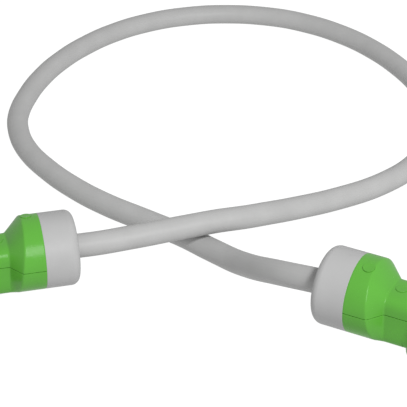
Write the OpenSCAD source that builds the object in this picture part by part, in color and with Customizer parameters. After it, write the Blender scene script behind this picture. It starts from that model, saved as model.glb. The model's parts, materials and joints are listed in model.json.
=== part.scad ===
// Power adapter dogbone: a right-angle male plug and a right-angle female
// connector on the two ends of one thick round cable.  Each head is a clamshell
// of an upper and a lower shell behind a smooth collar, with its metal parts
// held in an insulating block whose face looks down.

/* [Head shells] */
// Outer radius of the collar and of the round part of the shells
head_r = 27; // [25:0.5:30]
// Wall thickness of the shells and the collar
wall = 3; // [2:0.5:3.5]
// Length of the collar at the cable end
collar_len = 24.5; // [24:0.5:28]
// Radius of the collar's rounded back edge
collar_round = 6; // [4:0.5:7]
// Half width of the waist
waist_w = 16; // [15:0.5:18]
// Height of the waist's top above the cable axis
waist_top = 13; // [12:0.5:15]
// Radius of the round front end on the parting plane
front_r = 26; // [25:0.5:26.5]
// Radius of the front end at its flat face
face_r = 27; // [26.5:0.5:28]
// Distance from the collar to the middle of the front end
front_x = 64; // [63:0.5:65]

/* [Prongs and contacts] */
// Radius of the ground pin
pin_r = 3; // [2.5:0.1:3.2]
// Length of the ground pin below the face
pin_len = 21; // [19:0.5:22]
// Length of the two flat blades below the face
blade_len = 18; // [16:0.5:18.5]
// Thickness of a blade
blade_t = 2; // [1.5:0.1:2.2]
// Width of a blade
blade_w = 7; // [6:0.25:8]
// Radial gap between a mating ground pin and the ground contact
pin_gap = 0.05; // [0.03:0.01:0.1]

/* [Cable] */
// Outer diameter of the cable
cable_d = 17.5; // [17:0.25:18]
// Diameter of each insulated conductor
wire_d = 4.8; // [4:0.2:5]

/* [Hidden] */
$fn = 64;
eps = 0.01;
gap = 0.2;

cable_r = cable_d / 2;
face_z = -head_r;                 // the heads' flat faces, below the axis
waist_bottom = head_r - 2;        // depth of the waist below the axis
top_round = 9;                    // rounding of the front end's top edge
face_round = 1.5;                 // rounding of the flat face's edge
block_r = 20;                     // insulating block in the front end
block_x = 60;
block_top = -11;
jacket_in = 25.5;                  // how far the jacket reaches into a head
clamp_x = -11.4;                   // middle of the cord clamp
clamp_len = 9;
screws = [[8.5, -6], [30, -1]];   // shell screws: round part, waist
screw_r = 1.75;
boss_r = 3.5;                     // bosses of the lower shell
well_r = screw_r * 1.8 + 0.2;     // well above a screw's head
head_z = 2;                       // seat of the shell screws' heads
cap_r = 4;                        // round caps over the shell screws
cap_t = [3.4, 2];                 // their thickness
cap_foot = [head_r - 3.7, waist_top - 1.6];
cap_lean = [12.8, 0];             // tilt that lays a cap on the curved top
ground_x = 45;
shank_r = 2.4;                    // ground pin inside its block
blade_x = 63;
blade_y = 8;
terminal_y = 14;
blade_tab = [8, 9, 2];            // screw tab on top of a blade
tab_y = 13;                       // distance of its middle from the head's middle
tab_hole_r = 1.5;
slot_grow = 0.4;                  // room round a blade in its slot
leaf_gap = 1.9;                   // between a contact's two leaves
contact_tab = [13, 7, 1.6];       // screw tab on top of a contact
tab_reach = 6;                    // from the contact to its screw
link_w = 6;                       // width of the bar that joins the hot contacts
link_t = 1.2;
slot_x = 61;
slot_y = 11.5;
neutral_x = 73;

green = [0.36, 0.66, 0.25];
shade_grey = [0.70, 0.70, 0.70];
cable_grey = [0.73, 0.73, 0.73];
brass = [0.80, 0.66, 0.36];
steel = [0.72, 0.72, 0.74];

// ---- where the two heads stand -------------------------------------------

plug_pos = [112, -28, head_r + pin_len];
plug_turn = -28;
socket_pos = [-105, 54.2, head_r];
socket_turn = 194;

module at_plug() {
    translate(plug_pos) rotate([0, 0, plug_turn]) children();
}

module at_socket() {
    translate(socket_pos) rotate([0, 0, socket_turn]) children();
}

// ---- the cable's route -----------------------------------------------------
// From the connector's collar, over the other run, round the loop on the
// ground and back under itself, then up into the plug's collar.

ground_z = cable_r + 0.15;
ROUTE = [
    [-80.8, 60.3, 27], [-61, 65.3, 27], [-39, 72, 27.5], [-12, 81, 28], [16, 91, 28],
    [42, 102, 25.5], [68, 120, 19.5], [95, 142, 12], [123, 160, 9],
    [149, 177, ground_z], [173, 201, ground_z], [191, 232, ground_z],
    [202, 268, ground_z], [203, 306, ground_z], [196, 345, ground_z],
    [180, 386, ground_z], [156, 425, ground_z], [125, 457, ground_z],
    [87, 480, ground_z], [45, 490, ground_z], [3, 488, ground_z],
    [-38, 474, ground_z], [-75, 448, ground_z], [-106, 411, ground_z],
    [-128, 369, ground_z], [-141, 324, ground_z], [-145, 279, ground_z],
    [-133, 232, ground_z], [-105, 188, ground_z], [-71, 152, ground_z],
    [-37, 126, ground_z], [-7, 104, ground_z], [15, 83, 9.5], [31, 62, 14],
    [43, 41, 22.5], [55, 20, 33], [70, 0, 42.5], [89, -15.8, 48]];

// ---- swept tubes -------------------------------------------------------------

function unit(v) = v / norm(v);

// A point on the smooth curve through pts, between points i and i + 1.
function curve_pt(pts, i, t) =
    let (n = len(pts) - 1,
         b = pts[i],
         c = pts[i + 1],
         a = i == 0 ? 2 * b - c : pts[i - 1],
         d = i == n - 1 ? 2 * c - b : pts[i + 2])
    0.5 * (2 * b + (c - a) * t + (2 * a - 5 * b + 4 * c - d) * t * t
        + (3 * b - a - 3 * c + d) * t * t * t);

// The curve as points, with steps of them for each stretch.
function curve(pts, steps) = concat(
    [for (i = [0:len(pts) - 2], k = [0:steps - 1]) curve_pt(pts, i, k / steps)],
    [pts[len(pts) - 1]]);

// The direction of a path at point i.
function heading(p, i) =
    let (a = max(i - 1, 0), b = min(i + 1, len(p) - 1)) unit(p[b] - p[a]);

// A round tube along a path, closed at both ends.
module tube(path, r, sides) {
    last = len(path) - 1;
    ring = [for (i = [0:last])
        let (d = heading(path, i),
             side = unit(cross(d, [0.02, 0.01, 1])),
             up = cross(side, d))
        for (k = [0:sides - 1])
            path[i] + r * (cos(360 * k / sides) * side + sin(360 * k / sides) * up)];
    walls = [for (i = [0:last - 1], k = [0:sides - 1])
        let (k2 = (k + 1) % sides)
        [i * sides + k, i * sides + k2, (i + 1) * sides + k2, (i + 1) * sides + k]];
    start_cap = [for (k = [0:sides - 1]) sides - 1 - k];
    end_cap = [for (k = [0:sides - 1]) last * sides + k];
    polyhedron(concat(ring), concat(walls, [start_cap, end_cap]), convexity = 10);
}

// ---- the head's outer form ---------------------------------------------------
// The round part, the shoulder and the waist are one skin.  Each section of it is
// a pair of half superellipses that meet on the parting plane.  The front end is
// a round body that widens towards its flat face.

function ramp(x, lo, hi) = min(max((x - lo) / (hi - lo), 0), 1);

function half_width(x) = head_r - (head_r - waist_w) * ramp(x, 14, 24.5);

function top_height(x) = head_r - (head_r - waist_top) * ramp(x, 14, 22.5);

function bottom_depth(x) = head_r - (head_r - waist_bottom) * ramp(x, 19, 24.5);

// Exponents of the two halves of a section: 2 is round, larger is squarer.
function upper_power(x) = 2 + 1.4 * ramp(x, 14, 23.5);
function lower_power(x) = 2 + 3 * ramp(x, 15, 24.5);

function power(v, e) = sign(v) * pow(abs(v), e);

function section(x, cut, n) =
    [for (k = [0:n - 1])
        let (a = 360 * k / n,
             e = 2 / (sin(a) >= 0 ? upper_power(x) : lower_power(x)),
             h = sin(a) >= 0 ? top_height(x) : bottom_depth(x))
        [x, (half_width(x) - cut) * power(cos(a), e), (h - cut) * power(sin(a), e)]];

// A closed skin over sections at the given places along the head.
module loft(places, cut, n) {
    last = len(places) - 1;
    pts = [for (x = places) each section(x, cut, n)];
    walls = [for (i = [0:last - 1], k = [0:n - 1])
        let (k2 = (k + 1) % n)
        each [[i * n + k, (i + 1) * n + k, i * n + k2],
              [i * n + k2, (i + 1) * n + k, (i + 1) * n + k2]]];
    back = [for (k = [0:n - 1]) k];
    front = [for (k = [0:n - 1]) last * n + n - 1 - k];
    polyhedron(pts, concat(walls, [back, front]), convexity = 10);
}

// The round front end, or with cut its hollow.
module front_end(cut) {
    top = waist_top - cut;
    t = top_round - cut;
    arc = [for (a = [0:10:90])
        [front_r - cut - t + t * cos(a), top - t + t * sin(a)]];
    translate([front_x, 0, 0]) rotate_extrude($fn = 96)
        polygon(concat(
            [[0, face_z + cut], [face_r - cut - face_round, face_z + cut],
             [face_r - cut, face_z + cut + face_round]], arc, [[0, top]]));
}

SECTIONS = [0, 14, 15, 16, 17.5, 19, 21, 22.5, 23.5, 24.5, 40, front_x];

// A place on top of the head for a screw cap, at the cap's lower face.
module at_cap(i) {
    translate([screws[i][0], screws[i][1], cap_foot[i]]) rotate([cap_lean[i], 0, 0])
        children();
}

// The whole hollow head, before it is split on the parting plane.
module head_body() {
    difference() {
        union() {
            loft(SECTIONS, 0, 40);
            front_end(0);
        }
        loft(concat([-1], [for (i = [1:len(SECTIONS) - 1]) SECTIONS[i]]), wall, 40);
        front_end(wall);
        translate([block_x, 0, face_z - 1]) cylinder(r = block_r, h = wall + 2);
    }
}

module upper_shell() {
    difference() {
        union() {
            intersection() {
                head_body();
                translate([-2, -40, 0]) cube([100, 80, 40]);
            }
            for (i = [0, 1])
                translate([screws[i][0], screws[i][1], 0.5])
                    cylinder(r = well_r + 1.8, h = cap_foot[i]);
        }
        for (i = [0, 1]) {
            translate([screws[i][0], screws[i][1], -1])
                cylinder(r = screw_r + gap, h = cap_foot[i] + 2);
            translate([screws[i][0], screws[i][1], head_z])
                cylinder(r = well_r, h = cap_foot[i] + 1 - head_z);
            at_cap(i) cylinder(r = cap_r + 0.1, h = 10);
        }
    }
}

module lower_shell() {
    difference() {
        union() {
            intersection() {
                head_body();
                translate([-2, -40, -60]) cube([100, 80, 60]);
            }
            for (i = [0, 1])
                translate([screws[i][0], screws[i][1], -waist_bottom + 1])
                    cylinder(r = boss_r, h = waist_bottom - 1.5);
        }
        for (i = [0, 1])
            translate([screws[i][0], screws[i][1], -16]) cylinder(r = screw_r, h = 60);
    }
}

// The smooth ring behind the shells, with the cable's mouth in its back wall.
module collar() {
    c = collar_round;
    arc = [for (a = [0:10:90])
        [head_r - c + c * cos(a), -collar_len + c - c * sin(a)]];
    rotate([0, 90, 0]) rotate_extrude($fn = 96)
        polygon(concat(
            [[head_r, 0]], arc,
            [[cable_r + 0.4, -collar_len], [cable_r + 0.4, -collar_len + wall + 1],
             [head_r - c, -collar_len + wall + 1],
             [head_r - wall, -collar_len + c + 2], [head_r - wall, 0]]));
}

// The rubber ring that seals the cable inside the collar.
module grommet() {
    translate([-collar_len + wall + 1, 0, 0]) rotate([0, 90, 0])
        difference() {
            cylinder(r = 16, h = 4.5);
            translate([0, 0, -1]) cylinder(r = cable_r, h = 10);
        }
}

// Two saddle bars that squeeze the jacket.
module cord_clamp() {
    difference() {
        translate([clamp_x - clamp_len / 2, -18, -12]) cube([clamp_len, 36, 24]);
        translate([clamp_x - 20, 0, 0]) rotate([0, 90, 0]) cylinder(r = cable_r, h = 40);
        translate([clamp_x - 20, -30, -0.75]) cube([40, 60, 1.5]);
        for (s = [-1, 1])
            translate([clamp_x, 14 * s, -20]) cylinder(r = screw_r, h = 40);
    }
}

// A pan-head screw, its head's seat at the origin and its shank below it.
module screw(r, length) {
    difference() {
        union() {
            translate([0, 0, -length]) cylinder(r = r, h = length + eps);
            cylinder(r = r * 1.8, h = r * 1.2);
        }
        for (a = [0, 90])
            rotate([0, 0, a]) translate([-r * 1.1, -0.35, r * 0.5]) cube([r * 2.2, 0.7, r]);
    }
}

module clamp_screws() {
    for (s = [-1, 1])
        translate([clamp_x, 14 * s, 12]) screw(screw_r - 0.02, 22);
}

module shell_screws() {
    for (i = [0, 1])
        translate([screws[i][0], screws[i][1], head_z]) screw(screw_r - 0.02, 17);
}

module screw_caps() {
    for (i = [0, 1]) at_cap(i) cylinder(r = cap_r, h = cap_t[i]);
}

// The insulating block, with its face level with the shells' flat face.
module block() {
    translate([block_x, 0, face_z]) cylinder(r = block_r - gap, h = block_top - face_z);
}

// ---- the plug's inner parts ----------------------------------------------------

// The plug's two flat blades lean inwards at 45 degrees.
module blade(side, grow) {
    w = blade_w + 2 * grow;
    t = blade_t + 2 * grow;
    translate([blade_x, side * blade_y, 0]) rotate([0, 0, side * 45])
        translate([-w / 2, -t / 2, face_z - blade_len])
            cube([w, t, blade_len + block_top - face_z + 4]);
}

module blade_tabs(side) {
    difference() {
        union() {
            blade(side, 0);
            translate([blade_x - blade_tab[0] / 2, side * tab_y - blade_tab[1] / 2,
                block_top])
                cube(blade_tab);
        }
        translate([blade_x, side * terminal_y, block_top - 20])
            cylinder(r = tab_hole_r, h = 40);
    }
}

module plug_block() {
    difference() {
        block();
        for (s = [-1, 1]) {
            blade(s, 0.05);
            translate([blade_x, terminal_y * s, block_top - 7])
                cylinder(r = tab_hole_r, h = 10);
        }
        translate([ground_x, 0, face_z - 1]) cylinder(r = shank_r, h = 40);
    }
}

// A round pin with a rounded tip, a thinner shank in the block and a flat head.
module ground_pin() {
    translate([ground_x, 0, 0]) rotate_extrude()
        polygon(concat(
            [[0, face_z - pin_len]],
            [for (a = [10:10:90])
                [pin_r * sin(a), face_z - pin_len + pin_r * (1 - cos(a))]],
            [[pin_r, face_z], [shank_r, face_z], [shank_r, block_top],
             [pin_r + 1.5, block_top], [pin_r + 1.5, block_top + 3], [0, block_top + 3]]));
}

module terminal_screw_at(p) {
    translate(p) screw(1.48, 6);
}

module plug_terminals() {
    for (s = [-1, 1]) terminal_screw_at([blade_x, terminal_y * s, block_top + 2]);
}

// ---- the connector's inner parts -------------------------------------------------

// A slot for a flat blade, seen from the face.
module slot(x, y, turn) {
    translate([x, y, face_z - 1]) rotate([0, 0, turn])
        translate([-blade_w / 2 - slot_grow, -blade_t / 2 - slot_grow, 0])
            cube([blade_w + 2 * slot_grow, blade_t + 2 * slot_grow, 15]);
}

// A folded contact: two leaves on either side of a blade and a terminal tab.
module contact(x, y, turn, tab) {
    difference() {
        union() {
            translate([x, y, face_z + 2]) rotate([0, 0, turn]) difference() {
                translate([-blade_w / 2, -2, 0]) cube([blade_w, 4, block_top - face_z - 2]);
                translate([-blade_w, -leaf_gap / 2, -1])
                    cube([2 * blade_w, leaf_gap, block_top - face_z - 3]);
            }
            translate([x, y, block_top - eps]) rotate([0, 0, tab])
                translate([-3, -contact_tab[1] / 2, 0]) cube(contact_tab);
        }
        translate([x, y, 0]) rotate([0, 0, tab]) translate([tab_reach, 0, block_top - 10])
            cylinder(r = tab_hole_r, h = 20);
    }
}

function tab_end(x, y, tab) =
    [x + tab_reach * cos(tab), y + tab_reach * sin(tab), block_top + contact_tab[2]];

module contact_seat(x, y, turn, tab) {
    translate([x, y, face_z + 2]) rotate([0, 0, turn])
        translate([-blade_w / 2 - 0.1, -2.1, 0]) cube([blade_w + 0.2, 4.2, 30]);
    translate([x, y, 0]) rotate([0, 0, tab]) translate([tab_reach, 0, block_top - 7])
        cylinder(r = tab_hole_r, h = 10);
}

module socket_block() {
    difference() {
        block();
        for (s = [-1, 1]) {
            slot(slot_x, s * slot_y, 90);
            contact_seat(slot_x, s * slot_y, 90, 180 + 20 * s);
        }
        slot(neutral_x, 0, 90);
        contact_seat(neutral_x, 0, 90, 180);
        translate([ground_x, 0, face_z - 1]) cylinder(r = pin_r + 0.4, h = 40);
        translate([ground_x, 0, face_z + 1]) cylinder(r = pin_r + 1.25, h = 40);
    }
}

// The sleeve that a ground pin slides into, closed at its inner end.
module ground_contact() {
    translate([ground_x, 0, face_z + 1]) difference() {
        union() {
            cylinder(r = pin_r + 1.2, h = 22);
            translate([0, 0, block_top - face_z - 1]) cylinder(r = pin_r + 2.4, h = 1.6);
        }
        translate([0, 0, -1]) cylinder(r = pin_r + pin_gap, h = 21.1);
    }
}

module hot_link() {
    difference() {
        translate([slot_x - 8.6, -slot_y - 2, block_top + contact_tab[2]])
            cube([link_w, 2 * slot_y + 4, link_t]);
        for (s = [-1, 1])
            translate([0, 0, 1]) translate(tab_end(slot_x, s * slot_y, 180 + 20 * s))
                cylinder(r = 1.6, h = 6, center = true);
    }
}

module socket_terminals() {
    for (s = [-1, 1])
        terminal_screw_at(tab_end(slot_x, s * slot_y, 180 + 20 * s) + [0, 0, link_t]);
    terminal_screw_at(tab_end(neutral_x, 0, 180));
}

// ---- conductors ------------------------------------------------------------------
// Each runs from the jacket's end, past the screw bosses, to its terminal.
// They pass the bosses side by side, at waist = [y, z].

module wire(waist, end) {
    y = waist[0];
    z = waist[1];
    path = curve([[1.5, y / 4, z * 0.98], [8, y, z], [20, y, z], [34, y, z],
        [(34 + end[0]) / 2, (y + end[1]) / 2, (z + end[2]) / 2], end], 3);
    tube(path, wire_d / 2, 10);
}

// ---- nodes -------------------------------------------------------------------------

module cable() {
    last = len(ROUTE) - 1;
    inward_a = [cos(socket_turn), sin(socket_turn), 0];
    inward_b = [cos(plug_turn), sin(plug_turn), 0];
    path = concat([ROUTE[0] + jacket_in * inward_a], curve(ROUTE, 2),
        [ROUTE[last] + jacket_in * inward_b]);
    color(cable_grey) tube(path, cable_r, 12);
}

module plug_upper_shell() { color(green) at_plug() upper_shell(); }
module plug_lower_shell() { color(green) at_plug() lower_shell(); }
module plug_collar() { color(shade_grey) at_plug() collar(); }
module plug_grommet() { color("dimgray") at_plug() grommet(); }
module plug_cord_clamp() { color("ivory") at_plug() cord_clamp(); }
module plug_clamp_screws() { color(steel) at_plug() clamp_screws(); }
module plug_prong_block() { color("dimgray") at_plug() plug_block(); }
module plug_hot_blade() { color(brass) at_plug() blade_tabs(-1); }
module plug_neutral_blade() { color(steel) at_plug() blade_tabs(1); }
module plug_ground_pin() { color(steel) at_plug() ground_pin(); }
module plug_terminal_screws() { color(steel) at_plug() plug_terminals(); }
module plug_shell_screws() { color(steel) at_plug() shell_screws(); }
module plug_screw_caps() { color(green) at_plug() screw_caps(); }
module plug_hot_wire() { color("black") at_plug() wire([8, 5], [55, -12, -5.5]); }
module plug_neutral_wire() { color("white") at_plug() wire([8, 0], [55, 12, -5.5]); }
module plug_ground_wire() { color("green") at_plug() wire([8, -5], [43, 5, -5.5]); }

module socket_upper_shell() { color(green) at_socket() upper_shell(); }
module socket_lower_shell() { color(green) at_socket() lower_shell(); }
module socket_collar() { color(shade_grey) at_socket() collar(); }
module socket_grommet() { color("dimgray") at_socket() grommet(); }
module socket_cord_clamp() { color("ivory") at_socket() cord_clamp(); }
module socket_clamp_screws() { color(steel) at_socket() clamp_screws(); }
module socket_contact_block() { color("dimgray") at_socket() socket_block(); }
module socket_hot_contact_a() {
    color(brass) at_socket() contact(slot_x, slot_y, 90, 200);
}
module socket_hot_contact_b() {
    color(brass) at_socket() contact(slot_x, -slot_y, 90, 160);
}
module socket_neutral_contact() { color(brass) at_socket() contact(neutral_x, 0, 90, 180); }
module socket_ground_contact() { color(brass) at_socket() ground_contact(); }
module socket_hot_link() { color(brass) at_socket() hot_link(); }
module socket_terminal_screws() { color(steel) at_socket() socket_terminals(); }
module socket_shell_screws() { color(steel) at_socket() shell_screws(); }
module socket_screw_caps() { color(green) at_socket() screw_caps(); }
module socket_hot_wire() { color("black") at_socket() wire([8, 5], [49, -13.5, -4]); }
module socket_neutral_wire() { color("white") at_socket() wire([8, 0], [64, 4, -5]); }
module socket_ground_wire() { color("green") at_socket() wire([8, -5], [42, 6, -5.5]); }

cable();
plug_upper_shell();
plug_lower_shell();
plug_collar();
plug_grommet();
plug_cord_clamp();
plug_clamp_screws();
plug_prong_block();
plug_hot_blade();
plug_neutral_blade();
plug_ground_pin();
plug_terminal_screws();
plug_shell_screws();
plug_screw_caps();
plug_hot_wire();
plug_neutral_wire();
plug_ground_wire();
socket_upper_shell();
socket_lower_shell();
socket_collar();
socket_grommet();
socket_cord_clamp();
socket_clamp_screws();
socket_contact_block();
socket_hot_contact_a();
socket_hot_contact_b();
socket_neutral_contact();
socket_ground_contact();
socket_hot_link();
socket_terminal_screws();
socket_shell_screws();
socket_screw_caps();
socket_hot_wire();
socket_neutral_wire();
socket_ground_wire();
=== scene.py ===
"""Looks of the power adapter dogbone: a thick cable laid in one loop between a
right-angle plug and a right-angle connector, each a green clamshell in front of a
smooth grey collar.

The camera, the cable, the floor and the lights are in metres, in the part's frame.
The heads are drawn in millimetres in a head's own frame and then put in place: X
runs forward from the collar's front edge, Z is up, and the parting plane between
the two shells is at z = 0."""

import json
import math

import bmesh
import bpy
import numpy as np
from mathutils import Matrix, Vector


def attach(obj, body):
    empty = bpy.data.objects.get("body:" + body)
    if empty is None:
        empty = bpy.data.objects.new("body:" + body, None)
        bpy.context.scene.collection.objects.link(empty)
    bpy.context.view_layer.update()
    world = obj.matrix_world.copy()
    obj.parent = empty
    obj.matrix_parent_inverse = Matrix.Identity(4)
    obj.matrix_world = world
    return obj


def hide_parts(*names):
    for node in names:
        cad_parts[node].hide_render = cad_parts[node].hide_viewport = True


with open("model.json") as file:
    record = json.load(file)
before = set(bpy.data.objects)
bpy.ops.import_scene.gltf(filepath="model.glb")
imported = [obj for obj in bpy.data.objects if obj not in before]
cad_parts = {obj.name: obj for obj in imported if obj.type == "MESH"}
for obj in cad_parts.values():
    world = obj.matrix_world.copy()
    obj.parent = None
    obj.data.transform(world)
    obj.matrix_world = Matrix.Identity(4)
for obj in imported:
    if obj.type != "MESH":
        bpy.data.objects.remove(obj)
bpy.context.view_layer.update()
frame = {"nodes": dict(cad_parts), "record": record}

MM = 0.001

# ---------------------------------------------------------------- camera

CAMERA_AT = (0.010, -0.898, 0.649)
CAMERA_DOWN = 31.47  # degrees below the horizon
CAMERA_LENS = 142.1  # mm
CAMERA_SENSOR = 36.0  # mm across
CAMERA_NEAR, CAMERA_FAR = 0.05, 20.0


def link(obj):
    bpy.context.scene.collection.objects.link(obj)
    return obj


def make_camera():
    data = bpy.data.cameras.new("camera")
    data.sensor_width = CAMERA_SENSOR
    data.lens = CAMERA_LENS
    data.clip_start = CAMERA_NEAR
    data.clip_end = CAMERA_FAR
    camera = link(bpy.data.objects.new("camera", data))
    camera.location = CAMERA_AT
    camera.rotation_euler = (math.radians(90 - CAMERA_DOWN), 0, 0)
    bpy.context.scene.camera = camera


make_camera()

# ---------------------------------------------------------------- where the heads stand

HEAD_R = 27.0  # outer radius of the collar and of the shells' round part
COLLAR_LEN = 24.5
PIN_LEN = 21.0  # ground pin below the face
FACE_Z = -HEAD_R  # the flat face under the front end

# Place of each head's frame: position in millimetres and turn about Z in degrees.
# The plug stands on its ground pin and the connector lies on its face.
PLUG = ((112.0, -28.0, HEAD_R + PIN_LEN), -28.0)
SOCKET = ((-105.0, 54.2, HEAD_R), 194.0)


def head_matrix(place):
    """From a head's own frame in millimetres to the part's frame in metres."""
    position, turn = place
    move = Matrix.Translation(Vector(position) * MM)
    return move @ Matrix.Rotation(math.radians(turn), 4, "Z") @ Matrix.Scale(MM, 4)


def head_forward(place):
    """Unit vector along a head's X axis."""
    turn = math.radians(place[1])
    return np.array([math.cos(turn), math.sin(turn), 0])


# ---------------------------------------------------------------- cable

CABLE_D = 0.0175
GROUND_Z = 0.0089  # height of the cable's middle line where it lies flat

# The cable's middle line, from the connector's mouth to the plug's.
ROUTE = [
    (-0.0808, 0.0603, 0.027), (-0.061, 0.0653, 0.027), (-0.039, 0.072, 0.0275),
    (-0.012, 0.081, 0.028), (0.016, 0.091, 0.028), (0.042, 0.102, 0.0255),
    (0.068, 0.120, 0.0195), (0.095, 0.142, 0.012), (0.123, 0.160, 0.009),
    (0.149, 0.177, GROUND_Z), (0.173, 0.201, GROUND_Z), (0.191, 0.232, GROUND_Z),
    (0.202, 0.268, GROUND_Z), (0.203, 0.306, GROUND_Z), (0.196, 0.345, GROUND_Z),
    (0.180, 0.386, GROUND_Z), (0.156, 0.425, GROUND_Z), (0.125, 0.457, GROUND_Z),
    (0.087, 0.480, GROUND_Z), (0.045, 0.490, GROUND_Z), (0.003, 0.488, GROUND_Z),
    (-0.038, 0.474, GROUND_Z), (-0.075, 0.448, GROUND_Z), (-0.106, 0.411, GROUND_Z),
    (-0.128, 0.369, GROUND_Z), (-0.141, 0.324, GROUND_Z), (-0.145, 0.279, GROUND_Z),
    (-0.133, 0.232, GROUND_Z), (-0.105, 0.188, GROUND_Z), (-0.071, 0.152, GROUND_Z),
    (-0.037, 0.126, GROUND_Z), (-0.007, 0.104, GROUND_Z), (0.015, 0.083, 0.0095),
    (0.031, 0.062, 0.014), (0.043, 0.041, 0.0225), (0.055, 0.020, 0.033),
    (0.070, 0.000, 0.0425), (0.089, -0.0158, 0.048),
]

CURVE_STEPS = 12  # points on the curve for each point of the route
SMOOTH_ROUNDS = 12
CABLE_INSIDE = 0.0075  # how far the drawn cable reaches into each collar
CABLE_STEP = 0.0025  # distance between its rings
CABLE_SIDES = 40
CABLE_CRISP = 60.0  # edges sharper than this many degrees stay crisp: its two ends
CORES = 3  # conductors, twisted together under the jacket
LAY_PITCH = 0.115  # length of one turn of their twist
LAY_DEPTH = 0.00005  # half the depth of the hollows between them


def catmull_rom(points, steps):
    """The smooth curve through the points, with steps points to each span."""
    p = np.array(points, float)
    p = np.vstack([2 * p[0] - p[1], p, 2 * p[-1] - p[-2]])
    out = []
    for i in range(1, len(p) - 2):
        a, b, c, d = p[i - 1 : i + 3]
        for t in np.linspace(0, 1, steps, endpoint=False):
            linear = 2 * b + (c - a) * t
            squared = (2 * a - 5 * b + 4 * c - d) * t * t
            cubed = (3 * b - a - 3 * c + d) * t**3
            out.append(0.5 * (linear + squared + cubed))
    out.append(p[-2])
    return np.array(out)


def evenly(points, step):
    """The same line with points an equal distance apart, and their distances."""
    gaps = np.linalg.norm(np.diff(points, axis=0), axis=1)
    along = np.concatenate([[0], np.cumsum(gaps)])
    count = max(2, int(round(along[-1] / step)) + 1)
    where = np.linspace(0, along[-1], count)
    line = np.stack([np.interp(where, along, points[:, k]) for k in range(3)], axis=1)
    return line, where


def smooth_line(line, rounds):
    """Averages each inner point with its neighbours, to even out the bends."""
    line = line.copy()
    for _ in range(rounds):
        line[1:-1] = (line[:-2] + 2 * line[1:-1] + line[2:]) / 4
    return line


def cable_middle():
    """The drawn cable's middle line, which runs straight into both collars, and the
    distances of its points along it."""
    route = catmull_rom(ROUTE, CURVE_STEPS)
    start = route[0] + CABLE_INSIDE * head_forward(SOCKET)
    end = route[-1] + CABLE_INSIDE * head_forward(PLUG)
    line, _ = evenly(np.vstack([start, route, end]), CABLE_STEP)
    return evenly(smooth_line(line, SMOOTH_ROUNDS), CABLE_STEP)


def unit(v):
    return v / np.linalg.norm(v)


def new_object(name, verts, faces):
    mesh = bpy.data.meshes.new(name)
    mesh.from_pydata([tuple(v) for v in verts], [], [tuple(f) for f in faces])
    mesh.validate()
    mesh.update()
    return link(bpy.data.objects.new(name, mesh))


def shade(obj, degrees):
    """Smooth shading, with edges sharper than the angle kept crisp."""
    mesh = obj.data
    mesh.polygons.foreach_set("use_smooth", [True] * len(mesh.polygons))
    mesh.set_sharp_from_angle(angle=math.radians(degrees))
    mesh.update()


def add_cable_uv(mesh, along):
    """A UV map in metres: U runs along the cable and V around it."""
    uv = mesh.uv_layers.new(name="UVMap")
    for poly in mesh.polygons:
        corners = [mesh.loops[j].vertex_index for j in poly.loop_indices]
        columns = [corner % CABLE_SIDES for corner in corners]
        wraps = max(columns) - min(columns) > CABLE_SIDES / 2
        for j, corner, column in zip(poly.loop_indices, corners, columns):
            if wraps and column < CABLE_SIDES / 2:
                column += CABLE_SIDES
            round_way = column / CABLE_SIDES * math.pi * CABLE_D
            uv.data[j].uv = (along[corner // CABLE_SIDES], round_way)


def make_cable():
    """The jacket: a closed tube along the middle line, on which the twisted cores
    show as a faint, slow spiral."""
    line, along = cable_middle()
    angles = [2 * math.pi * k / CABLE_SIDES for k in range(CABLE_SIDES)]
    verts = []
    for middle, tangent, distance in zip(line, np.gradient(line, axis=0), along):
        forward = unit(tangent)
        side = unit(np.cross(forward, (0, 0, 1)))
        up = np.cross(side, forward)
        for a in angles:
            lay = math.cos(CORES * (a - 2 * math.pi * distance / LAY_PITCH))
            r = CABLE_D / 2 - LAY_DEPTH * (1 - lay)
            verts.append(middle + r * (math.cos(a) * side + math.sin(a) * up))
    faces = []
    last = (len(line) - 1) * CABLE_SIDES
    for a in range(0, last, CABLE_SIDES):
        b = a + CABLE_SIDES
        for k in range(CABLE_SIDES):
            k2 = (k + 1) % CABLE_SIDES
            faces.append((a + k, b + k, b + k2, a + k2))
    faces.append(list(range(CABLE_SIDES)))
    faces.append([last + k for k in reversed(range(CABLE_SIDES))])
    cable = new_object("cable_jacket", verts, faces)
    add_cable_uv(cable.data, along)
    shade(cable, CABLE_CRISP)
    return cable, line


cable, cable_line = make_cable()
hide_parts("cable")
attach(cable, "root")

# ---------------------------------------------------------------- materials

# A noise scale is a number of features per metre, so 22 is a drift about 45 mm wide
# and 2600 a grain about 0.4 mm wide.  Colours are linear.


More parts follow.
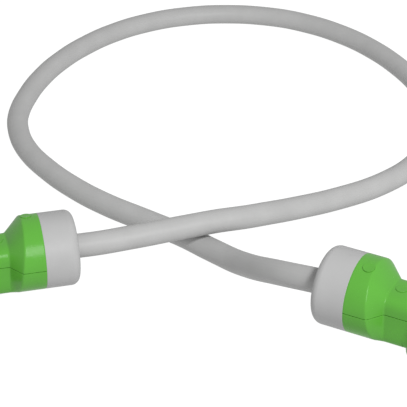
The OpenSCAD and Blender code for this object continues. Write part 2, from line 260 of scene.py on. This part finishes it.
class Nodes:
    """A short way to write a material's node tree."""

    def __init__(self, name):
        self.material = bpy.data.materials.new(name)
        self.material.use_nodes = True
        self.tree = self.material.node_tree
        self.shader = self.tree.nodes["Principled BSDF"]

    def add(self, kind, **values):
        node = self.tree.nodes.new(kind)
        for key, value in values.items():
            setattr(node, key, value)
        return node

    def join(self, a, b):
        self.tree.links.new(a, b)

    def place(self, kind="Object"):
        return self.add("ShaderNodeTexCoord").outputs[kind]

    def noise(self, vector, scale, detail=2.0, rough=0.5):
        node = self.add("ShaderNodeTexNoise")
        node.inputs["Scale"].default_value = scale
        node.inputs["Detail"].default_value = detail
        node.inputs["Roughness"].default_value = rough
        self.join(vector, node.inputs["Vector"])
        return node.outputs["Fac"]

    def spread(self, value, source, target):
        """The source range stretched onto the target range, and clamped there."""
        node = self.add("ShaderNodeMapRange")
        keys = ("From Min", "From Max", "To Min", "To Max")
        for key, number in zip(keys, (*source, *target)):
            node.inputs[key].default_value = number
        self.join(value, node.inputs["Value"])
        return node.outputs["Result"]

    def calculate(self, operation, a, b):
        node = self.add("ShaderNodeMath", operation=operation)
        for socket, value in zip(node.inputs, (a, b)):
            if isinstance(value, (int, float)):
                socket.default_value = value
            else:
                self.join(value, socket)
        return node.outputs["Value"]

    def plus(self, a, b):
        return self.calculate("ADD", a, b)

    def times(self, a, factor):
        return self.calculate("MULTIPLY", a, factor)

    def mix(self, factor, a, b):
        """Colour a where the factor is 0, and b where it is 1."""
        node = self.add("ShaderNodeMix", data_type="RGBA")
        for socket, value in ((node.inputs[6], a), (node.inputs[7], b)):
            if isinstance(value, tuple):
                socket.default_value = (*value, 1)
            else:
                self.join(value, socket)
        self.join(factor, node.inputs["Factor"])
        return node.outputs[2]

    def stretched(self, vector, scale):
        node = self.add("ShaderNodeMapping")
        node.inputs["Scale"].default_value = scale
        self.join(vector, node.inputs["Vector"])
        return node.outputs["Vector"]

    def finish(self, base, rough, height, strength, distance):
        """Joins colour, roughness and bump to the shader."""
        self.join(base, self.shader.inputs["Base Color"])
        self.join(rough, self.shader.inputs["Roughness"])
        bump = self.add("ShaderNodeBump")
        bump.inputs["Strength"].default_value = strength
        bump.inputs["Distance"].default_value = distance
        self.join(height, bump.inputs["Height"])
        self.join(bump.outputs["Normal"], self.shader.inputs["Normal"])
        return self.material


def tinted(color, factor):
    return tuple(min(1.0, c * factor) for c in color)


def moulded_plastic(name, color, rough, grain=0.06):
    """Injection-moulded plastic: fine spark-eroded grain, slow colour drift, faint
    rubbed patches and hair scratches."""
    n = Nodes(name)
    place = n.place()
    drift = n.noise(place, scale=22, detail=3)
    cloud = n.noise(place, scale=140, detail=4, rough=0.6)
    speck = n.noise(place, scale=2600)
    scratch = n.noise(n.stretched(place, (90, 900, 600)), scale=1.6, rough=0.7)
    base = n.mix(n.spread(drift, (0.35, 0.65), (0, 1)), tinted(color, 0.955), tinted(color, 1.04))
    base = n.mix(n.spread(speck, (0.3, 0.7), (0, 0.16)), base, tinted(color, 0.9))
    line = n.spread(scratch, (0.69, 0.72), (0, 0.10))
    base = n.mix(line, base, tinted(color, 1.25))
    patches = n.spread(cloud, (0.3, 0.7), (rough - 0.05, rough + 0.07))
    n.shader.inputs["Specular IOR Level"].default_value = 0.4
    height = n.plus(speck, n.times(cloud, 0.5))
    return n.finish(base, n.plus(patches, n.times(line, 0.6)), height, grain, 0.0003)


def jacket_rubber(name, color):
    """Extruded jacket: fine lines along the cable, soft mottling and light scuffs.
    The lines and scuffs are drawn on the cable's own UV map, in metres."""
    n = Nodes(name)
    place = n.place()
    along = n.place("UV")
    lines = n.noise(n.stretched(along, (3, 900, 1)), scale=1, detail=3, rough=0.6)
    fine = n.noise(n.stretched(along, (60, 3200, 1)), scale=1)
    scuff = n.noise(n.stretched(along, (40, 260, 1)), scale=1, detail=4, rough=0.65)
    mottle = n.noise(place, scale=60, detail=4, rough=0.6)
    speck = n.noise(place, scale=2200)
    base = n.mix(n.spread(mottle, (0.3, 0.7), (0, 1)), tinted(color, 0.95), tinted(color, 1.04))
    base = n.mix(n.spread(lines, (0.35, 0.65), (0, 0.5)), base, tinted(color, 0.955))
    rubbed = n.spread(scuff, (0.66, 0.74), (0, 0.35))
    base = n.mix(rubbed, base, tinted(color, 0.86))
    tone = n.spread(mottle, (0.3, 0.7), (0.38, 0.5))
    height = n.plus(n.times(lines, 0.8), n.times(fine, 0.4))
    height = n.plus(height, n.times(speck, 0.4))
    return n.finish(base, n.plus(tone, n.times(rubbed, 0.3)), height, 0.12, 0.0003)


def worn_metal(name, color, rough):
    """Drawn or rolled metal with fine lines along Z, handling marks and dull spots."""
    n = Nodes(name)
    place = n.place()
    lines = n.noise(n.stretched(place, (2400, 2400, 70)), scale=1, detail=3, rough=0.6)
    dull = n.noise(place, scale=260, detail=4, rough=0.6)
    base = n.mix(n.spread(dull, (0.35, 0.7), (0, 1)), color, tinted(color, 0.78))
    n.shader.inputs["Metallic"].default_value = 1.0
    tone = n.spread(dull, (0.3, 0.7), (rough - 0.06, rough + 0.1))
    return n.finish(base, n.plus(tone, n.times(lines, 0.08)), lines, 0.08, 0.0002)


GREEN = (0.075, 0.28, 0.03)
GREY = (0.31, 0.31, 0.31)
CABLE_GREY = (0.315, 0.315, 0.313)

LOOKS = {
    "cable_jacket": jacket_rubber("jacket", CABLE_GREY),
    "green_shell": moulded_plastic("green_plastic", GREEN, 0.22),
    "green_caps": moulded_plastic("green_cap_plastic", tinted(GREEN, 0.97), 0.24),
    "grey_collar": moulded_plastic("grey_plastic", GREY, 0.42),
    "rubber": moulded_plastic("black_rubber", (0.03, 0.03, 0.03), 0.7, grain=0.15),
    "clamp_plastic": moulded_plastic("clamp_nylon", (0.72, 0.70, 0.63), 0.5),
    "dark_insulator": moulded_plastic("dark_thermoset", (0.035, 0.035, 0.038), 0.42, grain=0.1),
    "brass_contact": worn_metal("brass", (0.78, 0.58, 0.27), 0.24),
    "plated_prong": worn_metal("nickel_plate", (0.73, 0.72, 0.69), 0.22),
    "steel_screws": worn_metal("zinc_plate", (0.66, 0.67, 0.69), 0.32),
    "black_insulation": moulded_plastic("black_vinyl", (0.02, 0.02, 0.02), 0.4),
    "white_insulation": moulded_plastic("white_vinyl", (0.82, 0.82, 0.80), 0.4),
    "green_insulation": moulded_plastic("green_vinyl", (0.04, 0.30, 0.09), 0.4),
}


def dress(obj, slot):
    obj.data.materials.clear()
    obj.data.materials.append(LOOKS[slot])


def stand_for(piece, node, slot):
    """The piece replaces a CAD node, takes its finish and rides with the part."""
    dress(piece, slot)
    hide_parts(node)
    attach(piece, "root")


dress(cable, "cable_jacket")

# ---------------------------------------------------------------- the head's form

WALL = 3.0
WAIST_W = 16.0  # half width of the waist
WAIST_TOP = 13.0  # its height above the parting plane
WAIST_BOTTOM = HEAD_R - 2  # its depth below the parting plane
TOP_POWER, BOTTOM_POWER = 3.4, 5.0  # how square its section is: 2 would be an ellipse
SHOULDER_START = 16.3  # where the shoulder begins, on the parting plane
SHOULDER_SLANT = 3.9  # how much nearer to the collar it begins on the crest
SHOULDER_END = 24.4  # where it ends, on the parting plane
END_SLANT = 0.6  # how much nearer to the collar it ends on the crest
SHOULDER_ROUND = 0.3  # rounding where the shoulder meets its neighbours
FRONT_X = 64.0  # middle of the round front end
FRONT_R = 26.0  # its radius on the parting plane
FACE_R = 27.0  # its radius at the flat face
TOP_ROUND = 9.0  # rounding of its top edge
FACE_ROUND = 1.5  # rounding of the face's edge
FRONT_FILLET = 5.0  # fillet between the front end and the waist, on their sides
FILLET_TOP, FILLET_BOTTOM = 0.8, 0.55  # cosine of the angle where it has faded out
FILLET_LEFT = 0.05  # what is left of it there
BLOCK_X, BLOCK_R = 60.0, 20.0  # middle and radius of the opening in the face
CAP_R = 4.0  # screw caps
CAP_GAP = 0.1  # round each cap in its well
WELL_TOP = 12.0  # a height above a well's floor that clears the shell
# Screw caps: x, y and z of the foot, lean in degrees, thickness.
CAPS = ((8.5, -6.0, HEAD_R - 3.7, 12.8, 3.4), (30.0, -1.0, WAIST_TOP - 1.6, 0.0, 2.0))
SEAM_HALF = 0.22  # half the width of the groove between the shells
SEAM_DEPTH = 0.9
SEAM_EDGE = 0.12  # softening of its two edges
LIP, LIP_LENGTH = 0.15, 0.4  # small chamfer against the collar

HALF_POINTS = 49  # points from the parting plane to the crest or the keel
SIDE_ANGLE, SIDE_POINTS, REST_POINTS = 0.06, 25, 220  # first ones lie closer together
BEND_WEIGHT = 4.0  # how much closer together points are set where a line bends
NOSE_STEPS = 40  # sections of the turned front end
SAME_POINT = 1e-4  # points nearer than this are welded
PAST = 2.0  # how far the face's opening is cut past the wall on each side
HEAD_CRISP = 35.0  # edges sharper than this many degrees stay crisp


def lift(t, soft):
    """max(t, 0) with its corner rounded over about the given length."""
    return (t + math.sqrt(t * t + soft * soft)) / 2


def soft_ramp(x, lo, hi):
    """0 before lo and 1 after hi, with both corners rounded."""
    return (lift(x - lo, SHOULDER_ROUND) - lift(x - hi, SHOULDER_ROUND)) / (hi - lo)


def neck_radius(x, angle, cut):
    """How far the head reaches at an angle from +Y, less cut.  The shoulder runs
    straight from the round part to the waist, between two slanting planes."""
    c, s = abs(math.cos(angle)), math.sin(angle)
    height, power = (WAIST_TOP, TOP_POWER) if s >= 0 else (WAIST_BOTTOM, BOTTOM_POWER)
    waist = ((c / WAIST_W) ** power + (abs(s) / height) ** power) ** (-1 / power)
    share = soft_ramp(x, SHOULDER_START - SHOULDER_SLANT * s, SHOULDER_END - END_SLANT * s)
    return HEAD_R + (waist - HEAD_R) * share - cut


def arc(cx, cy, r, a0, a1, count):
    return [
        (cx + r * math.cos(math.radians(a)), cy + r * math.sin(math.radians(a)))
        for a in np.linspace(a0, a1, count)
    ]


def front_profile(upper, cut):
    """The front end's outline from the parting plane to its centre, as (r, z)."""
    if upper:
        r, top, radius = FRONT_R - cut, WAIST_TOP - cut, TOP_ROUND - cut
        side = [(r, z) for z in np.linspace(0, top - radius, 6, endpoint=False)]
        bend = arc(r - radius, top - radius, radius, 0, 90, 14)
        flat = [(q, top) for q in np.linspace(r - radius, 0, 9)[1:]]
    else:
        r, low, radius = FACE_R - cut, FACE_Z + cut, FACE_ROUND
        widening = FACE_R - FRONT_R
        side = [
            (r - widening * (1 - t), (low + radius) * t)
            for t in np.linspace(0, 1, 12, endpoint=False)
        ]
        bend = arc(r - radius, low + radius, radius, 0, -90, 9)
        flat = [(q, low) for q in np.linspace(r - radius, 0, 12)[1:]]
    return np.array(side + bend + flat)


def front_radius(profile, distance, angles):
    """How far the front end reaches at each angle, in a section that lies the given
    distance behind its middle.  It is 0 where the section misses the front end."""
    if profile[0, 0] <= distance:
        return np.zeros(len(angles))
    keep = profile[:, 0] > distance
    y = np.sqrt(profile[keep, 0] ** 2 - distance**2)
    z = np.abs(profile[keep, 1])
    if distance > 0:
        y, z = np.append(y, 0.0), np.append(z, z[-1])
    own = np.arctan2(z, y)
    order = np.argsort(own)
    folded = np.minimum(np.abs(angles), math.pi - np.abs(angles))
    return np.interp(folded, own[order], np.hypot(y, z)[order])


def blend_out(a, b, soft):
    """The larger of two radii, with a fillet where they meet."""
    h = np.maximum(soft - np.abs(a - b), 0) / soft
    return np.maximum(a, b) + h * h * soft / 4


def by_bend(points, count):
    """The same line with its points closer together where it bends."""
    gaps = np.linalg.norm(np.diff(points, axis=0), axis=1)
    points = points[np.concatenate([[True], gaps > 1e-7])]
    step = np.diff(points, axis=0)
    heading = np.unwrap(np.arctan2(step[:, 1], step[:, 0]))
    bend = BEND_WEIGHT * np.abs(np.diff(heading)) / 2
    cost = np.linalg.norm(step, axis=1) + np.append(0, bend) + np.append(bend, 0)
    along = np.concatenate([[0], np.cumsum(cost)])
    where = np.linspace(0, along[-1], count)
    return np.stack([np.interp(where, along, points[:, k]) for k in (0, 1)], axis=1)


def with_groove(line):
    """The line with one side of a narrow groove sunk along the parting plane."""
    sign = 1 if line[-1, 1] > 0 else -1
    r = line[0, 0]
    groove = [
        (r - SEAM_DEPTH, 0.0),
        (r - SEAM_DEPTH, sign * SEAM_HALF),
        (r - SEAM_EDGE, sign * SEAM_HALF),
        (r, sign * (SEAM_HALF + SEAM_EDGE)),
    ]
    rest = line[np.abs(line[:, 1]) > SEAM_HALF + 2 * SEAM_EDGE]
    return np.vstack([groove, by_bend(rest, HALF_POINTS - len(groove))])


def half_section(x, upper, cut, seam):
    """One side of the section at x, from the parting plane to the middle, as (y, z).
    seam gives it the groove between the shells and the chamfer at the collar."""
    sign = 1 if upper else -1
    near = np.linspace(0, SIDE_ANGLE, SIDE_POINTS, endpoint=False)
    angles = np.concatenate([near, np.linspace(SIDE_ANGLE, math.pi / 2, REST_POINTS)])
    neck = np.array([neck_radius(x, sign * a, cut) for a in angles])
    front = front_radius(front_profile(upper, cut), FRONT_X - x, angles)
    end = FILLET_TOP if upper else FILLET_BOTTOM
    fillet = FILLET_LEFT + FRONT_FILLET * np.clip((np.cos(angles) - end) / (1 - end), 0, 1) ** 2
    radius = np.where(front > 0, blend_out(neck, front, fillet), neck)
    if not upper:  # nothing reaches below the face
        radius = np.minimum(radius, (HEAD_R - cut) / np.maximum(np.sin(angles), 1e-6))
    if seam:
        radius = radius - LIP * max(0.0, 1 - x / LIP_LENGTH)
    line = np.stack([radius * np.cos(angles), sign * radius * np.sin(angles)], axis=1)
    return with_groove(line) if seam else by_bend(line, HALF_POINTS)


def nose_section(upper, cut, seam):
    """The outline that is turned about the front end's middle, as (r, z)."""
    profile = front_profile(upper, cut)
    return with_groove(profile) if seam else by_bend(profile, HALF_POINTS)


def stations(start):
    """Places of the sections, closest together on the shoulder.  The outer form
    starts at the collar, with one section at the end of its chamfer."""
    if start < 0:
        xs = list(np.arange(start, 12, 1.5))
    else:
        xs = [0, LIP_LENGTH, 1.5, 3, 5, 7, 9, 11]
    shoulder = list(np.arange(12, 28, 0.5))
    waist = list(np.arange(28, 54, 0.8))
    return xs + shoulder + waist + [55, 56.5, 58, 60, 62]


def weld(obj):
    """Joins points that lie together, drops collapsed faces and loose edges, closes
    any sliver that a cut left open, and turns the faces outwards."""
    bm = bmesh.new()
    bm.from_mesh(obj.data)
    bmesh.ops.remove_doubles(bm, verts=bm.verts, dist=SAME_POINT)
    bmesh.ops.dissolve_degenerate(bm, edges=bm.edges, dist=SAME_POINT / 10)
    loose = [e for e in bm.edges if not e.link_faces]
    bmesh.ops.delete(bm, geom=loose, context="EDGES")
    rims = [e for e in bm.edges if e.is_boundary]
    bmesh.ops.holes_fill(bm, edges=rims, sides=4)
    bmesh.ops.recalc_face_normals(bm, faces=bm.faces)
    bm.to_mesh(obj.data)
    bm.free()
    return obj


def half_solid(name, upper, cut, seam, start=0.0, deeper=0.0):
    """A closed solid of one half of the head, from x = start to the nose.  deeper
    carries its flat side past the parting plane, for a hollow that is cut away."""
    loops = []
    for x in stations(start):
        side = half_section(max(x, 0.0), upper, cut, seam)
        right = [(x, y, z) for y, z in side]
        left = [(x, -y, z) for y, z in side[-2::-1]]
        loops.append(right + left)
    profile = nose_section(upper, cut, seam)
    for j in range(NOSE_STEPS + 1):
        turn = math.pi / 2 * j / NOSE_STEPS
        c, s = math.cos(turn), math.sin(turn)
        right = [(FRONT_X + r * s, r * c, z) for r, z in profile]
        left = [(FRONT_X + r * s, -r * c, z) for r, z in profile[-2::-1]]
        loops.append(right + left)
    n = len(loops[0])
    verts = np.array([p for loop in loops for p in loop])
    if deeper:
        flat = np.abs(verts[:, 2]) < 1e-6
        verts[flat, 2] = -deeper if upper else deeper
    faces = []
    for a in range(0, (len(loops) - 1) * n, n):
        b = a + n
        faces += [(a + k, a + k + 1, b + k + 1, b + k) for k in range(n - 1)]
        faces.append((a + n - 1, a, b, b + n - 1))
    faces.append(list(range(n - 1, -1, -1)))
    return weld(new_object(name, verts, faces))


def into_triangles(obj):
    """Splits its bent quads, which would leave slivers where they are cut."""
    bm = bmesh.new()
    bm.from_mesh(obj.data)
    bmesh.ops.triangulate(bm, faces=bm.faces)
    bm.to_mesh(obj.data)
    bm.free()
    return obj


def turned(name, profile, segments):
    """A closed solid turned about Z, from an (r, z) outline that begins and ends on
    the axis or closes on itself."""
    verts, faces = [], []
    m = len(profile)
    for j in range(segments):
        a = 2 * math.pi * j / segments
        verts += [(r * math.cos(a), r * math.sin(a), z) for r, z in profile]
    for j in range(segments):
        a, b = j * m, ((j + 1) % segments) * m
        faces += [(a + k, b + k, b + (k + 1) % m, a + (k + 1) % m) for k in range(m)]
    return weld(new_object(name, verts, faces))


def rod(name, radius, low, high):
    return turned(name, [(0, low), (radius, low), (radius, high), (0, high)], 96)


def cap_matrix(x, y, foot, lean):
    """Where a cap's foot lies on the head."""
    return Matrix.Translation((x, y, foot)) @ Matrix.Rotation(math.radians(lean), 4, "X")


def cut_away(obj, *tools):
    """Subtracts the tools, which are then removed."""
    for tool in tools:
        modifier = obj.modifiers.new("cut", "BOOLEAN")
        modifier.operation = "DIFFERENCE"
        modifier.solver = "EXACT"
        modifier.object = tool
    graph = bpy.context.evaluated_depsgraph_get()
    mesh = bpy.data.meshes.new_from_object(obj.evaluated_get(graph))
    obj.modifiers.clear()
    old, obj.data = obj.data, mesh
    bpy.data.meshes.remove(old)
    for tool in tools:
        bpy.data.objects.remove(tool)
    return weld(obj)


def make_upper_shell():
    """The upper half, hollowed, with a well for each screw cap."""
    shell = half_solid("upper", True, 0, True)
    hollow = half_solid("upper_hollow", True, WALL, False, start=-1.0, deeper=1.0)
    into_triangles(hollow)
    wells = []
    for x, y, foot, lean, _ in CAPS:
        wells.append(rod("well", CAP_R + CAP_GAP, 0, WELL_TOP))
        wells[-1].data.transform(cap_matrix(x, y, foot, lean))
    return cut_away(shell, hollow, *wells)


def make_lower_shell():
    """The lower half, hollowed, with a round opening for the block in its face."""
    shell = half_solid("lower", False, 0, True)
    hollow = half_solid("lower_hollow", False, WALL, False, start=-1.0, deeper=1.0)
    into_triangles(hollow)
    window = rod("window", BLOCK_R, FACE_Z - PAST, FACE_Z + WALL + PAST)
    window.data.transform(Matrix.Translation((BLOCK_X, 0, 0)))
    return cut_away(shell, hollow, window)


COLLAR_ROUND = 6.0  # rounding of the back edge
COLLAR_END = WALL + 1  # thickness of the end wall round the cable's mouth
MOUTH_R = CABLE_D / MM / 2 + 0.4
MOUTH_ROUND = 0.9


def make_collar():
    """The smooth ring: rounded back edge, softened mouth, thin chamfer in front."""
    back, inner = -COLLAR_LEN, HEAD_R - WALL
    c, mouth = COLLAR_ROUND, MOUTH_ROUND
    front = [(inner, 0), (HEAD_R - LIP, 0), (HEAD_R, -LIP)]
    side = [(HEAD_R, z) for z in np.linspace(-4, back + c + 3, 4)]
    edge = arc(HEAD_R - c, back + c, c, 0, -90, 22)
    flat = [(r, back) for r in (17.0, 14.0)]
    lip = arc(MOUTH_R + mouth, back + mouth, mouth, 270, 180, 8)
    end_wall = [(MOUTH_R, back + COLLAR_END), (HEAD_R - c, back + COLLAR_END)]
    inside = [(inner, back + c + 2)]
    collar = turned("collar", front + side + edge + flat + lip + end_wall + inside, 160)
    collar.data.transform(Matrix.Rotation(math.radians(90), 4, "Y"))
    return collar


CAP_EDGE = 0.2  # rounding of a cap's rim
CAP_DISH = 0.1  # depth of the dish in its top


def make_cap(x, y, foot, lean, thick):
    """A round cap with a softened rim and a shallow dish."""
    outline = [(0, 0), (CAP_R, 0)]
    outline += arc(CAP_R - CAP_EDGE, thick - CAP_EDGE, CAP_EDGE, 0, 90, 6)
    outline += [(CAP_R - 0.8, thick - 0.2 * CAP_DISH), (CAP_R - 1.3, thick - 0.8 * CAP_DISH)]
    outline += [(0, thick - CAP_DISH)]
    cap = turned("cap", outline, 72)
    cap.data.transform(cap_matrix(x, y, foot, lean))
    return cap


def joined(name, parts):
    """One object out of several separate solids."""
    bm = bmesh.new()
    for part in parts:
        bm.from_mesh(part.data)
        bpy.data.objects.remove(part)
    mesh = bpy.data.meshes.new(name)
    bm.to_mesh(mesh)
    bm.free()
    return link(bpy.data.objects.new(name, mesh))


def put(obj, place):
    """Moves a piece from the head's frame to a head's place."""
    obj.data.transform(head_matrix(place))
    shade(obj, HEAD_CRISP)
    return obj


def copy_of(obj, name):
    return link(bpy.data.objects.new(name, obj.data.copy()))


PATTERNS = (
    (make_upper_shell(), "upper_shell", "green_shell"),
    (make_lower_shell(), "lower_shell", "green_shell"),
    (make_collar(), "collar", "grey_collar"),
    (joined("caps", [make_cap(*cap) for cap in CAPS]), "screw_caps", "green_caps"),
)

for head, place in (("plug", PLUG), ("socket", SOCKET)):
    for pattern, node, slot in PATTERNS:
        piece = put(copy_of(pattern, f"{head}_{node}_look"), place)
        stand_for(piece, f"{head}_{node}", slot)
for pattern, _, _ in PATTERNS:
    bpy.data.objects.remove(pattern)

# ---------------------------------------------------------------- the plug's prongs

BLOCK_TOP = -11.0  # top of the block that holds them
BLADE_X, BLADE_Y = 63.0, 8.0
BLADE_W, BLADE_T, BLADE_LEN = 7.0, 2.0, 18.0
BLADE_LEAN = 45.0  # degrees between a blade and the head's length
BLADE_TAB = 4.0  # how far a blade stands out of the block's top
BLADE_CORNER = 1.6  # rounding of its tip's corners
BLADE_EDGE = 0.3  # rounding of its long edges
PIN_X, PIN_R = 45.0, 3.0
PIN_EDGE = 0.3  # bevel at the pin's root
SHANK_R = 2.4  # its shank inside the block
PIN_HEAD = 3.0  # thickness of its head above the block
PIN_HEAD_R = PIN_R + 1.5


def make_blade(side):
    """A flat blade with rounded tip corners and softened edges."""
    low, high = FACE_Z - BLADE_LEN, BLOCK_TOP + BLADE_TAB
    half, corner = BLADE_W / 2, BLADE_CORNER
    outline = arc(half - corner, low + corner, corner, 0, -90, 8)
    outline += arc(-half + corner, low + corner, corner, 270, 180, 8)
    outline += [(-half, high), (half, high)]
    bm = bmesh.new()
    ring = [bm.verts.new((x, -BLADE_T / 2, z)) for x, z in outline]
    face = bm.faces.new(ring)
    grown = bmesh.ops.extrude_face_region(bm, geom=[face])
    moved = [v for v in grown["geom"] if isinstance(v, bmesh.types.BMVert)]
    bmesh.ops.translate(bm, vec=(0, BLADE_T, 0), verts=moved)
    rims = [e for e in bm.edges if abs(e.verts[0].co.y - e.verts[1].co.y) < 1e-6]
    bmesh.ops.bevel(
        bm, geom=rims, offset=BLADE_EDGE, segments=3, affect="EDGES", profile=0.6
    )
    bmesh.ops.recalc_face_normals(bm, faces=bm.faces)
    mesh = bpy.data.meshes.new("blade")
    bm.to_mesh(mesh)
    bm.free()
    mesh.transform(Matrix.Rotation(math.radians(BLADE_LEAN * side), 4, "Z"))
    mesh.transform(Matrix.Translation((BLADE_X, BLADE_Y * side, 0)))
    return link(bpy.data.objects.new("blade", mesh))


def make_ground_pin():
    """A round pin with a domed tip, its shank through the block, and its head."""
    tip = FACE_Z - PIN_LEN
    outline = [(0, tip)] + arc(0, tip + PIN_R, PIN_R, -80, 0, 14)
    outline += [(PIN_R, FACE_Z - PIN_EDGE), (PIN_R - PIN_EDGE, FACE_Z), (SHANK_R, FACE_Z)]
    outline += [(SHANK_R, BLOCK_TOP), (PIN_HEAD_R, BLOCK_TOP)]
    outline += [(PIN_HEAD_R, BLOCK_TOP + PIN_HEAD), (0, BLOCK_TOP + PIN_HEAD)]
    pin = turned("pin", outline, 64)
    pin.data.transform(Matrix.Translation((PIN_X, 0, 0)))
    return pin


for piece, node, slot in (
    (make_blade(-1), "plug_hot_blade", "brass_contact"),
    (make_blade(1), "plug_neutral_blade", "plated_prong"),
    (make_ground_pin(), "plug_ground_pin", "plated_prong"),
):
    piece.name = f"{node}_look"
    stand_for(put(piece, PLUG), node, slot)

# ---------------------------------------------------------------- carried-over parts

slot_of = {entry["node"]: entry["material_slot"] for entry in frame["record"]["subparts"]}
for name, obj in frame["nodes"].items():
    if slot_of.get(name) in LOOKS:
        dress(obj, slot_of[name])

# ---------------------------------------------------------------- floor and light

FLOOR_HALF = 4.0  # half the width of the floor
LIT_POINT = (0.0, 0.08, 0.03)  # the softboxes face this point
WORLD_STRENGTH = 0.54


def make_floor():
    """Pure white paper: it glows and has a dark colour of its own, so that no
    shadow shows on it, and it lights the undersides.  Reflections leave it out."""
    corners = ((-1, -1), (1, -1), (1, 1), (-1, 1))
    verts = [(x * FLOOR_HALF, y * FLOOR_HALF, 0) for x, y in corners]
    floor = new_object("floor", verts, [(0, 1, 2, 3)])
    n = Nodes("floor_paper")
    grain = n.noise(n.place(), scale=900, detail=3)
    base = n.mix(grain, (0.04, 0.04, 0.04), (0.06, 0.06, 0.06))
    n.join(base, n.shader.inputs["Base Color"])
    n.shader.inputs["Roughness"].default_value = 1.0
    n.shader.inputs["Specular IOR Level"].default_value = 0.0
    n.shader.inputs["Emission Color"].default_value = (1, 1, 1, 1)
    n.shader.inputs["Emission Strength"].default_value = 1.0
    floor.data.materials.append(n.material)
    floor.visible_glossy = False


def make_softbox(name, azimuth, elevation, distance, width, height, power, mirrored):
    """A soft light that faces LIT_POINT.  Azimuth is measured from -Y towards +X,
    in degrees; mirrored says whether reflections show the light."""
    a, e = math.radians(azimuth), math.radians(elevation)
    out = Vector((math.sin(a) * math.cos(e), -math.cos(a) * math.cos(e), math.sin(e)))
    data = bpy.data.lights.new(name, "AREA")
    data.shape = "RECTANGLE"
    data.size = width
    data.size_y = height
    data.energy = power
    lamp = link(bpy.data.objects.new(name, data))
    lamp.location = Vector(LIT_POINT) + out * distance
    lamp.rotation_euler = (-out).to_track_quat("-Z", "Y").to_euler()
    lamp.visible_glossy = mirrored


def make_world(strength):
    world = bpy.data.worlds.new("studio")
    bpy.context.scene.world = world
    world.use_nodes = True
    back = world.node_tree.nodes["Background"]
    back.inputs["Color"].default_value = (1, 1, 1, 1)
    back.inputs["Strength"].default_value = strength


make_floor()
make_softbox(
    "key_softbox", azimuth=32, elevation=52, distance=2.0,
    width=0.28, height=0.28, power=37, mirrored=False,
)
make_softbox(
    "front_softbox", azimuth=22, elevation=34, distance=1.9,
    width=0.8, height=0.9, power=10, mirrored=True,
)
make_world(WORLD_STRENGTH)
bpy.context.scene.view_settings.view_transform = "Standard"
